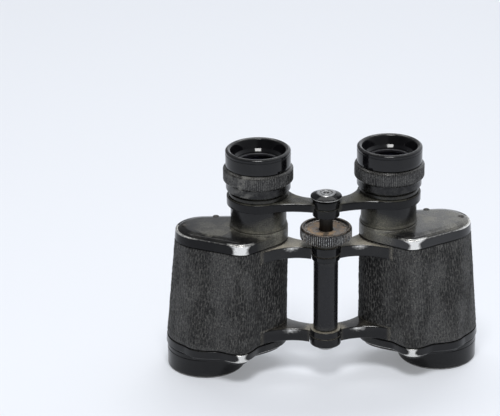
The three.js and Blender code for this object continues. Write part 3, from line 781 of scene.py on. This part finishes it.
def cover_screw(side, place):
    name = f"{side}_cover_screw_{place}"
    low, high = span(f"right_cover_screw_{place}")
    at = (low[:2] + high[:2]) / 2
    screw = turned(name, [
        (0, low[2]), (0.9, low[2]), (0.9, 73.4), (1.5, 73.4), (1.5, high[2] - 0.25, 0.2),
        (0.9, high[2] + 0.02, 0.3), (0, high[2] + 0.05),
    ], at, SIDES[side], 40, closed=False)
    boolean(screw, [slab("slot", rectangle(at, 2, 0.2), high[2] - 0.45, high[2] + 1, SIDES[side])], "DIFFERENCE")
    return hand_in(screw, f"{side}_half", MATERIALS["spindle"], "steel", name)


# ---- housing with its arms and lugs
def front_of_skin(x, z):
    """Where the covering's front stands at one height, from the hinge axis."""
    line, _, _ = even_outline(z, SKIN_INSET, OUTLINE_FINE)
    near = line[np.abs(line[:, 0] - HINGE[0] - x) < 0.25]
    return near[:, 1].min() - HINGE[1]


def arm_plan(level):
    """The arm seen from above, anticlockwise: hollow front and back, its end flush with the covering."""
    end_y = front_of_skin(ARM_END_X, (level["low"] + level["high"]) / 2)
    front = curve((0.0, -6.0), (12.5, 7.2), (ARM_END_X, end_y), 24)
    back = curve((19.0, 16.6), (12.5, 7.6), (0.0, 6.2), 20)
    inside = [(36.0, 2.0), (28.0, 19.0)]
    return [(HINGE[0] + x, HINGE[1] + y) for x, y in front + inside + back]


def lug_and_gap(side, low, seam, high, gap_low):
    """Heights of one half's lug, and of the gap that it leaves for the other half's."""
    half = SEAM_GAP / 2
    if side == "left":
        return (seam + half, high), (gap_low, seam + half)
    return (low, seam - half), (seam - half, high + 1)


def arm(name, level, side):
    """One arm with its half of the knuckle, cleared round the other half's lug."""
    sign = SIDES[side]
    lug, clear = lug_and_gap(side, level["foot"], level["seam"], level["top"], level["foot"] - 1)
    air = level["knuckle"] + LUG_AIR
    obj = slab(name, arm_plan(level), level["low"], level["high"], sign)
    clearance = rod("clearance", air, *clear, HINGE, sign)
    inner = rod("inner", level["knuckle"] - WEB_OVERLAP, level["foot"] - 2, level["top"] + 2, HINGE, sign)
    soften(obj, 1.7)
    boolean(obj, [clearance, inner], "DIFFERENCE")
    soften(obj, 0.25)
    knuckle = turned("knuckle", [
        (4.3, lug[0]), (level["knuckle"], lug[0], 0.25), (level["knuckle"], lug[1], 0.5), (4.3, lug[1]),
    ], HINGE, sign, 128, paint={"wear": nowhere})
    obj = joined(name, obj, knuckle)
    distance = lambda p: from_axis(p, HINGE)
    at_seam = lambda p: bell(p[:, 2], level["seam"], 0.3) * (distance(p) < level["knuckle"] + 0.2)
    at_web_end = lambda p: unit(1 - np.abs(distance(p) - air - 0.25) / 0.4)
    at_far_end = lambda p: unit((p[:, 0] - HINGE[0] - ARM_END_X + 1.2) / 1.0)
    # This paints a bare line along the top front edge at mid-span: a painted highlight standing in for the lamp's
    # highlight on the rounded edge.
    painted_edge_highlight = lambda p: (bell(p[:, 2], level["high"] - 0.6, 0.35) * bell(p[:, 0], HINGE[0] + 16, 6)
                               * (p[:, 1] < HINGE[1] + 3.5))
    upper = level is UPPER
    repaint(
        obj, sign,
        film=lambda p: 0.3 * at_seam(p) + (0.35 if upper else 0.3) * np.maximum(at_web_end(p), at_far_end(p)),
        wear=lambda p: np.maximum(0.60 * at_web_end(p), 0.66 * painted_edge_highlight(p)),
    )
    return obj


def housing(side):
    """The casting under the covering, with its upper and lower arms."""
    name = f"{side}_housing"
    shell = lofted(name, [(1.5, 13.5), (1.5, 71.7), (3.2, 71.7), (3.2, 13.5)], SIDES[side], 144)
    boolean(shell, [rod("seat", 16.2, 10, 17.3, OBJECTIVE, SIDES[side])], "DIFFERENCE")
    repaint(shell, film=nowhere, wear=nowhere)
    arms = [arm("lower", LOWER, side), arm("upper", UPPER, side)]
    for part, look in zip([shell, *arms], ("barrel", "lower_arm", "upper_arm")):
        part.data.materials.clear()
        part.data.materials.append(MATERIALS[look])
    obj = joined(name, shell, *arms)
    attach(obj, f"{side}_half")
    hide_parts(name)
    return obj


def strap_lug(side):
    """A cast loop for the strap, rounded all over."""
    name = f"{side}_strap_lug"
    low, high = span("right_strap_lug")
    middle = (low + high) / 2
    bar = 1.8
    outer = rounded([(low[0], low[1]), (high[0], low[1]), (high[0], high[1], 3.0), (low[0], high[1], 3.0)], steps=8)
    obj = slab(name, outer, low[2], high[2], SIDES[side])
    slot_low, slot_high = high[1] - bar - 4.7, high[1] - bar
    inner = rounded([(middle[0] - 4.8, slot_low, 1.0), (middle[0] + 4.8, slot_low, 1.0),
                     (middle[0] + 4.8, slot_high, 1.4), (middle[0] - 4.8, slot_high, 1.4)], steps=6)
    boolean(obj, [slab("slot", inner, low[2] - 1, high[2] + 1, SIDES[side])], "DIFFERENCE")
    soften(obj, 0.6)
    return hand_in(obj, f"{side}_half", MATERIALS["spindle"], "steel", name)


# ---- objectives
def objective(side):
    sign, body = SIDES[side], f"{side}_half"
    r = 18.9
    barrel_top = 11.7
    thread = []
    for i in range(5):
        thread += [(15.5, 8.6 - 1.1 * i), (15.75, 8.05 - 1.1 * i)]
    barrel = turned(f"{side}_objective_barrel", [
        (17.0, 0, 0.2), (18.5, 0, 0.3), (r, 0.7, 0.5), (r, 9.2, 0.15), (r - 0.25, 9.35), (r - 0.25, 9.65),
        (r, 9.8, 0.15), (r, barrel_top, 0.3), (15.9, barrel_top), (15.9, 17), (14.4, 17), (14.4, 9.6),
        (15.5, 9.6), *thread, (15.5, 2.8, 0.2), (16.5, 2.6, 0.2),
    ], OBJECTIVE, sign, 192, paint={
        "film": lambda p: 0.15 * unit(1 - p[:, 2] / 3),
        "wear": lambda p: 0.62 * bell(p[:, 2], 0.5, 0.40),
    })
    hand_in(barrel, body, MATERIALS["barrel"], "enamel", f"{side}_objective_barrel")
    ring = turned(f"{side}_objective_ring", [
        (14.2, 3.0, 0.3), (15.2, 3.0, 0.1), (15.2, 4.6, 0.1), (14.2, 4.6, 0.1),
    ], OBJECTIVE, sign, 128)
    notches = [slab("notch", rectangle(OBJECTIVE + (x, 0), 0.8, 0.6), 2, 3.6, sign) for x in (14.7, -14.7)]
    boolean(ring, notches, "DIFFERENCE")
    hand_in(ring, body, MATERIALS["alloy"], "enamel", f"{side}_objective_ring")
    hand_in(lens(f"{side}_objective_lens", 15.2, 6.0, 8.4, 0.9, OBJECTIVE, sign), body, MATERIALS["glass"],
            "glass", f"{side}_objective_lens")


LENS_STEPS = 14


def lens(name, r, low, high, crown, at, sign):
    """A lens with round faces that stand out by crown in the middle."""
    share = np.linspace(0, 1, LENS_STEPS + 1)
    under = [(r * t, low - crown * (1 - t * t)) for t in share]
    over = [(r * t, high + crown * (1 - t * t)) for t in share[::-1]]
    return turned(name, under + over, at, sign, 96, closed=False)


# ---- eyepieces
def neck(side):
    """The guide tube, thick with grime near its foot."""
    low, high, r = 75.0, top("right_guide_tube"), 13.17
    obj = turned(f"{side}_guide_tube", [
        (10.6, 73.2), (11.5, 73.2), (11.5, low), (r + 0.45, low, 0.15), (r + 0.4, low + 0.5, 0.3),
        (r, low + 1.3, 1.0), (r, high, 0.3), (12.3, high, 0.1), (12.3, 76), (10.6, 76),
    ], EYE, SIDES[side], 160, paint={
        "film": lambda p: unit((82.5 - p[:, 2] + 3 * np.clip((EYE[0] - p[:, 0]) / 10, -1, 1)) / 6),
        "wear": nowhere,
    })
    return hand_in(obj, f"{side}_half", MATERIALS["neck"], "enamel", f"{side}_guide_tube")


def eyepiece_body(side, right_body="focus_slide"):
    """The body that carries an eyepiece's piece; on the left they are all fixed to the bridge."""
    return "left_bridge" if side == "left" else right_body


def bridge_plan():
    """Anticlockwise plan of the web between the column and the eyepiece's ring."""
    dx, dy = EYE - HINGE
    front = curve((0.0, -5.5), (15.8, 1.6), (dx - 2, dy - 14.75), 20)
    back = curve((dx - 14.2, dy + 4.4), (12.5, 4.6), (0.0, 5.6), 16)
    return [(HINGE[0] + x, HINGE[1] + y) for x, y in front + [(dx, dy)] + back]


def bridge_arm(side):
    name = f"{side}_bridge_arm"
    sign = SIDES[side]
    low, high = 85.6, 89.9
    column, seam, column_foot, column_top = 6.35, 87.75, 83.45, 91.6
    lug, clear = lug_and_gap(side, column_foot, seam, column_top, low - 1)
    obj = soften(slab(name, bridge_plan(), low, high, sign), 0.8)
    tools = [
        rod("clearance", column + LUG_AIR, *clear, HINGE, sign),
        rod("inner", column - 0.6, 80, 99, HINGE, sign),
        rod("bore", 14.2, 80, 99, EYE, sign, 128),
    ]
    soften(boolean(obj, tools, "DIFFERENCE"), 0.25)
    ring = turned("ring", [
        (13.5, low), (14.95, low, 0.5), (14.95, high, 0.9), (14.0, high + 0.05, 0.2), (12.3, high + 0.05),
        (12.3, 87.8), (13.5, 87.8),
    ], EYE, sign, 160)
    knuckle = turned("knuckle", [
        (3.5, lug[0]), (column, lug[0], 0.3), (column, lug[1], 0.3), (3.5, lug[1]),
    ], HINGE, sign, 96)
    obj = joined(name, obj, ring, knuckle)
    distance = lambda p: from_axis(p, HINGE)
    repaint(
        obj, sign,
        film=lambda p: 0.45 * bell(p[:, 2], seam, 0.35) * (distance(p) < column + 0.2)
        + 0.35 * bell(distance(p), column + 2 * LUG_AIR, 0.25),
        wear=lambda p: 0.22 * bell(p[:, 2], high, 0.35) * (distance(p) > 8),
    )
    return hand_in(obj, eyepiece_body(side), MATERIALS["bridge"], "enamel", name)


def ocular_tube(side):
    name = f"{side}_ocular_tube"
    obj = turned(name, [
        (11.0, 78), (12.0, 78), (12.0, 90.2), (13.9, 90.2, 0.2), (13.9, 92.0, 0.4), (13.0, 92.0),
        (13.0, 100.5), (11.9, 100.5), (11.9, 87), (11.0, 87),
    ], EYE, SIDES[side], 128, paint={"film": lambda p: 0.3 * (p[:, 2] > 90), "wear": nowhere})
    return hand_in(obj, eyepiece_body(side), MATERIALS["neck"], "enamel", name)


RING_RIDGES = 118


def crests(points, at, ridges):
    """1 on the crest of each knurl ridge and 0 in its hollow."""
    return 0.5 + 0.5 * np.cos(ridges * np.arctan2(points[:, 1] - at[1], points[:, 0] - at[0]))


def eyepiece_ring(side):
    name = f"{side}_eyepiece_ring"
    r, skirt = 16.48, 15.19
    low, knurl_low, high = foot("right_eyepiece_ring"), 97.7, top("right_eyepiece_ring")
    worn_side = (lambda p: unit((p[:, 0] - EYE[0]) / 14)) if side == "left" else nowhere
    front = lambda p: unit(0.5 - (p[:, 1] - EYE[1]) / 30)
    obj = turned(name, [
        (13.3, low), (skirt, low, 0.3), (skirt, knurl_low - 0.7, 0.3), (r - 0.3, knurl_low, 0.3),
        (r, knurl_low + 0.5, 0.3), (r, high - 1.1, 0.3), (r - 0.5, high - 0.45, 0.3), (r - 1.3, high, 0.3),
        (11.9, high), (11.9, 102.6), (13.3, 102.6),
    ], EYE, SIDES[side], RING_RIDGES * 6, knurl=(knurl_low + 0.45, high - 1.0, RING_RIDGES, 0.16), paint={
        "crest": lambda p: np.where(p[:, 2] > knurl_low, crests(p, EYE, RING_RIDGES), 0.04),
        "film": lambda p: 0.06 + 0.75 * bell(worn_side(p), 0.62, 0.34) * front(p),
    })
    body = eyepiece_body(side, "right_diopter")
    return hand_in(obj, body, MATERIALS["ring"], "knurled_metal", name)


def eyecup(side):
    """A straight cup with a broad rim, conical inside. The rim is painted grey, stronger at the back: partly
    rubbing, and partly a painted reflection of the bright surroundings.
    """
    name = f"{side}_eyecup"
    r = 15.33
    low, high = heights("right_eyecup")
    # The rim's grey is partly rubbing and partly a painted reflection, stronger at the back.
    on_rim = lambda p: unit((p[:, 2] - (high - 0.95)) / 0.5)
    obj = turned(name, [
        (11.9, low), (r - 0.1, low, 0.4), (r, low + 1.2, 0.3), (r, high - 2.3, 0.2), (r - 0.12, high - 2.15),
        (r - 0.12, high - 1.85), (r, high - 1.7, 0.2), (r, high - 0.8, 0.7), (r - 1.1, high + 0.0, 0.8),
        (r - 2.3, high - 0.55, 0.9), (11.7, 108.3, 0.5), (10.6, 107.2, 0.3),
        (10.4, 106.95), (11.9, 106.9),
    ], EYE, SIDES[side], 192, paint={"wear": lambda p: on_rim(p) * (0.75 - 0.25 * (p[:, 1] < EYE[1]))})
    body = eyepiece_body(side, "right_diopter")
    return hand_in(obj, body, MATERIALS["bakelite"], "bakelite", name)


def eye_optics(side):
    sign = SIDES[side]
    body = eyepiece_body(side, "right_lens")
    cell = turned(f"{side}_lens_cell", [
        (10.4, 89), (11.6, 89), (11.6, 106.6, 0.2), (9.0, 106.6, 0.3), (9.0, 105.6, 0.1), (10.4, 105.6),
    ], EYE, sign, 128)
    hand_in(cell, body, MATERIALS["alloy"], "aluminium", f"{side}_lens_cell")
    hand_in(lens(f"{side}_eye_lens", 10.1, 101.6, 104.4, 0.7, EYE, sign), body, MATERIALS["glass"], "glass",
            f"{side}_eye_lens")
    hand_in(lens(f"{side}_field_lens", 10.7, 80.4, 82.4, 0.8, EYE, sign), eyepiece_body(side), MATERIALS["glass"],
            "glass", f"{side}_field_lens")


# ---- centre line
def hinge_tube():
    low, high = heights("hinge_tube")
    r = 5.83
    obj = turned("hinge_tube_sleeve", [(4.3, low), (r, low, 0.3), (r, high, 0.3), (4.3, high)], paint={
        "film": lambda p: 0.5 * unit(1 - (p[:, 2] - low) / 2.5) + 0.25 * unit((p[:, 2] - high + 2) / 2),
        "wear": nowhere,
    })
    return hand_in(obj, "right_half", MATERIALS["tube"], "enamel", "hinge_tube")


def hinge_collar():
    low, high = heights("hinge_collar")
    obj = turned("hinge_collar_ring", [(4.3, low), (6.2, low, 0.2), (6.2, high, 0.3), (4.3, high)], paint={
        "film": lambda p: 0.6 * everywhere(p), "wear": nowhere,
    })
    return hand_in(obj, "right_half", MATERIALS["neck"], "enamel", "hinge_collar")


def hinge_end_screw():
    low, high = heights("hinge_end_screw")
    r = 4.6
    obj = turned("hinge_end_screw_head", [
        (0, low), (r - 0.4, low, 0.5), (r, low + 0.7, 0.3), (r, high, 0.1), (0, high),
    ], closed=False, around=96)
    boolean(obj, [slab("slot", rectangle(HINGE, 6, 0.5), low - 1, low + 0.7)], "DIFFERENCE")
    return hand_in(obj, "right_half", MATERIALS["steel"], "steel", "hinge_end_screw")


WHEEL_RIDGES = 72


def focus_wheel():
    """Knurled wheel with a dished, dusty top and a ring of small studs in the dish."""
    r = 12.18
    low, high = heights("focus_wheel")
    obj = turned("focus_wheel_rim", [
        (3.5, low), (10.6, low, 0.3), (11.3, low + 0.5, 0.2), (r - 0.2, low + 0.9, 0.2), (r, low + 1.5, 0.2),
        (r, high - 1.0, 0.2), (r - 0.25, high - 0.35, 0.25), (r - 0.8, high, 0.3), (r - 1.5, high - 0.15, 0.3),
        (r - 2.1, high - 1.1, 0.4), (r - 3.0, high - 1.35, 0.5), (5.0, high - 1.6, 1.0), (3.5, high - 1.5),
    ], around=WHEEL_RIDGES * 8, knurl=(low + 0.95, high - 0.7, WHEEL_RIDGES, 0.34), paint={
        "crest": lambda p: np.where(p[:, 2] < high - 0.6, crests(p, HINGE, WHEEL_RIDGES) ** 3, 0.1),
        "film": lambda p: 0.02 + 0.25 * unit(np.abs(p[:, 0] - HINGE[0]) / 12 - 0.35) * (p[:, 2] < high - 0.9)
        + (p[:, 2] > high - 2) * unit((r - 2.2 - from_axis(p, HINGE)) / 2.5),
    })
    studs = []
    count, ring_r = 40, r - 2.9
    for i in range(count):
        a = 2 * math.pi * i / count
        at = HINGE + ring_r * np.array([math.cos(a), math.sin(a)])
        studs.append(turned("stud", [(0, high - 1.7), (0.42, high - 1.7), (0.42, high - 1.1, 0.2), (0, high - 0.95)],
                            at, around=10, closed=False, paint={"crest": everywhere,
                                                                "film": nowhere}))
    obj = joined("focus_wheel_rim", obj, *studs)
    return hand_in(obj, "focus_wheel", MATERIALS["wheel"], "knurled_metal", "focus_wheel")


def column_cap():
    """A cap with a bright flat top, a turned groove round its middle and a black cone down to its rim."""
    low, high = heights("column_cap")
    cap = turned("column_cap_top", [
        (0, high - 0.75), (1.2, high - 0.75, 0.1), (1.4, high - 0.05, 0.1), (2.4, high - 0.05, 0.1),
        (2.55, high - 0.3, 0.1), (2.9, high - 0.3, 0.1), (3.05, high - 0.02, 0.1), (4.35, high, 0.2),
        (4.7, high - 0.35, 0.1), (4.5, high - 0.9), (0, high - 0.9),
    ][::-1], around=96, closed=False, paint={"film": nowhere})
    hand_in(cap, "focus_slide", MATERIALS["cap"], "steel")
    cone = turned("column_cap_cone", [
        (0, low), (6.5, low, 0.2), (7.1, low + 0.5, 0.2), (7.39, low + 0.95, 0.2), (7.2, low + 1.45, 0.3),
        (4.75, high - 0.35, 0.2), (4.3, high - 0.8), (0, high - 0.8),
    ], around=128, closed=False, paint={
        "film": nowhere,
        "wear": lambda p: 0.62 * bell(p[:, 2], low + 1.0, 0.35),
    })
    hand_in(cone, "focus_slide", MATERIALS["cone"], "enamel", "column_cap")


# ---- CAD nodes that stay
def dress_kept_nodes():
    """Materials for the inner CAD parts, which are right as they are."""
    looks = {"focus_spindle": "spindle", "hinge_axle": "steel"}
    for side in SIDES:
        looks.update({
            f"{side}_prism_shelf": "shelf", f"{side}_upper_prism": "prism", f"{side}_lower_prism": "prism",
            f"{side}_upper_prism_clip": "spring", f"{side}_lower_prism_clip": "spring",
        })
    for node, look in looks.items():
        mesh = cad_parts[node].data
        mesh.materials.clear()
        mesh.materials.append(MATERIALS[look])


# ---- studio
# The camera's place (in metres), the way it looks, its roll (in radians) and its lens (in millimetres).
CAMERA_AT = Vector((-0.08314, -0.88593, 0.46390))
CAMERA_WAY = Vector((0.05005, 0.91738, -0.39485))
CAMERA_ROLL = -0.0105
CAMERA_LENS = 147.6


def camera():
    data = bpy.data.cameras.new("camera")
    data.lens = CAMERA_LENS
    data.sensor_width = 36
    obj = in_scene("camera", data)
    right = CAMERA_WAY.cross(Vector((0, 0, 1))).normalized()
    up = right.cross(CAMERA_WAY).normalized()
    turn_right = right * math.cos(CAMERA_ROLL) + up * math.sin(CAMERA_ROLL)
    turn_up = up * math.cos(CAMERA_ROLL) - right * math.sin(CAMERA_ROLL)
    turn = Matrix((turn_right, turn_up, -CAMERA_WAY)).transposed()
    obj.matrix_world = Matrix.Translation(CAMERA_AT) @ turn.to_4x4()
    bpy.context.scene.camera = obj


def area_light(name, at, towards, size, power):
    data = bpy.data.lights.new(name, "AREA")
    data.shape = "RECTANGLE"
    data.size, data.size_y = size
    data.energy = power
    obj = in_scene(name, data)
    obj.location = at
    obj.rotation_euler = (Vector(towards) - Vector(at)).to_track_quat("-Z", "Y").to_euler()


def floor():
    """A plain pale disc that fades into the background."""
    count, radius = 96, 6.0
    ring = [(radius * math.cos(2 * math.pi * i / count), radius * math.sin(2 * math.pi * i / count), 0)
            for i in range(count)]
    mesh = bpy.data.meshes.new("floor")
    mesh.from_pydata(ring, [], [tuple(range(count))])
    obj = in_scene("floor", mesh)
    s = Shading("floor_paper")
    mesh.materials.append(s.set(Base_Color=(0.55, 0.57, 0.61, 1), Roughness=0.7, Specular_IOR_Level=0.2,
                                Emission_Color=(0.95, 0.97, 1.0, 1), Emission_Strength=0.25))


def studio():
    """White surroundings behind, dark ones in front, a lamp over the front and one for the far floor."""
    world = bpy.data.worlds.new("studio")
    bpy.context.scene.world = world
    world.use_nodes = True
    tree = world.node_tree
    place = tree.nodes.new("ShaderNodeTexCoord")
    split = tree.nodes.new("ShaderNodeSeparateXYZ")
    tree.links.new(place.outputs["Generated"], split.inputs[0])
    ramps = []  # brightness along each axis, as (from, to, brightness at from, brightness at to)
    for axis, ends in (("Y", (-0.6, 0.9, 0.35, 1.15)), ("X", (-0.16, 0.12, 0.25, 1.0))):
        ramp = tree.nodes.new("ShaderNodeMapRange")
        ramp.interpolation_type = "SMOOTHSTEP"
        tree.links.new(split.outputs[axis], ramp.inputs["Value"])
        for key, end in zip(RANGE_ENDS, ends):
            ramp.inputs[key].default_value = end
        ramps.append(ramp.outputs["Result"])
    both = tree.nodes.new("ShaderNodeMath")
    both.operation = "MULTIPLY"
    for socket, result in zip(both.inputs, ramps):
        tree.links.new(result, socket)
    background = tree.nodes["Background"]
    background.inputs["Color"].default_value = (0.92, 0.95, 1.0, 1)
    tree.links.new(both.outputs["Value"], background.inputs["Strength"])
    area_light("overhead", (-0.06, -0.42, 1.15), (0, 0, 0.05), (0.36, 0.36), 9.5)
    area_light("behind", (0.0, 0.85, 1.7), (0, 0.75, 0), (1.6, 0.5), 12)
    bpy.context.scene.view_settings.view_transform = "Standard"
    bpy.context.scene.view_settings.look = "None"


# ---- everything
for half in SIDES:
    covering(half)
    housing(half)
    top_cover(half)
    bottom_cover(half)
    cover_screw(half, "outer")
    cover_screw(half, "rear")
    strap_lug(half)
    objective(half)
    neck(half)
    bridge_arm(half)
    ocular_tube(half)
    eyepiece_ring(half)
    eyecup(half)
    eye_optics(half)
hinge_tube()
hinge_collar()
hinge_end_screw()
focus_wheel()
column_cap()
dress_kept_nodes()
camera()
floor()
studio()
